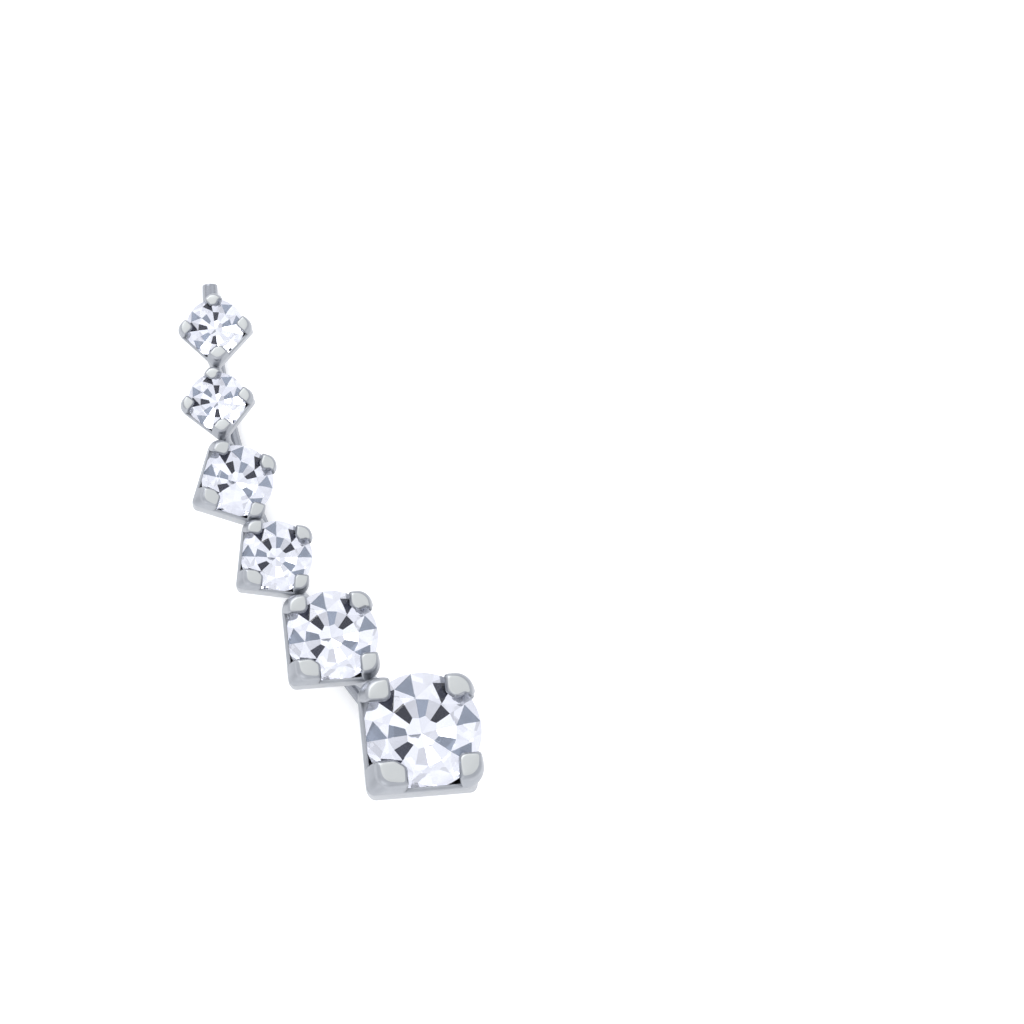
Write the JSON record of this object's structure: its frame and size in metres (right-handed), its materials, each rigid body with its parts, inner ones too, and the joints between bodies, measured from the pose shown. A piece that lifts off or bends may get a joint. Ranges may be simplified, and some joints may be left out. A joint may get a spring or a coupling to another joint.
{
  "type": "ear climber",
  "caption": "Curved row of round stones in square claw settings that shrink upward, on a long springy ear wire bent behind the row.",
  "frame": {"origin": "middle of the bounding box's bottom, on the surface that the ear wire lies on", "axes": "+Y along the row from the largest stone's end to the wire's tip, +X to the right as seen from the front with the largest stone lowest, +Z out of the stones' tables, away from the surface"},
  "size_m": [0.0162, 0.0288, 0.01],
  "materials": {
    "silver": "rhodium-plated silver, polished, satin claw tips",
    "crystal": "clear faceted crystal"
  },
  "bodies": {
    "root": {"setting_frame": "silver", "stone_1": "crystal", "stone_2": "crystal", "stone_3": "crystal", "stone_4": "crystal", "stone_5": "crystal", "stone_6": "crystal"}
  },
  "joints": []
}
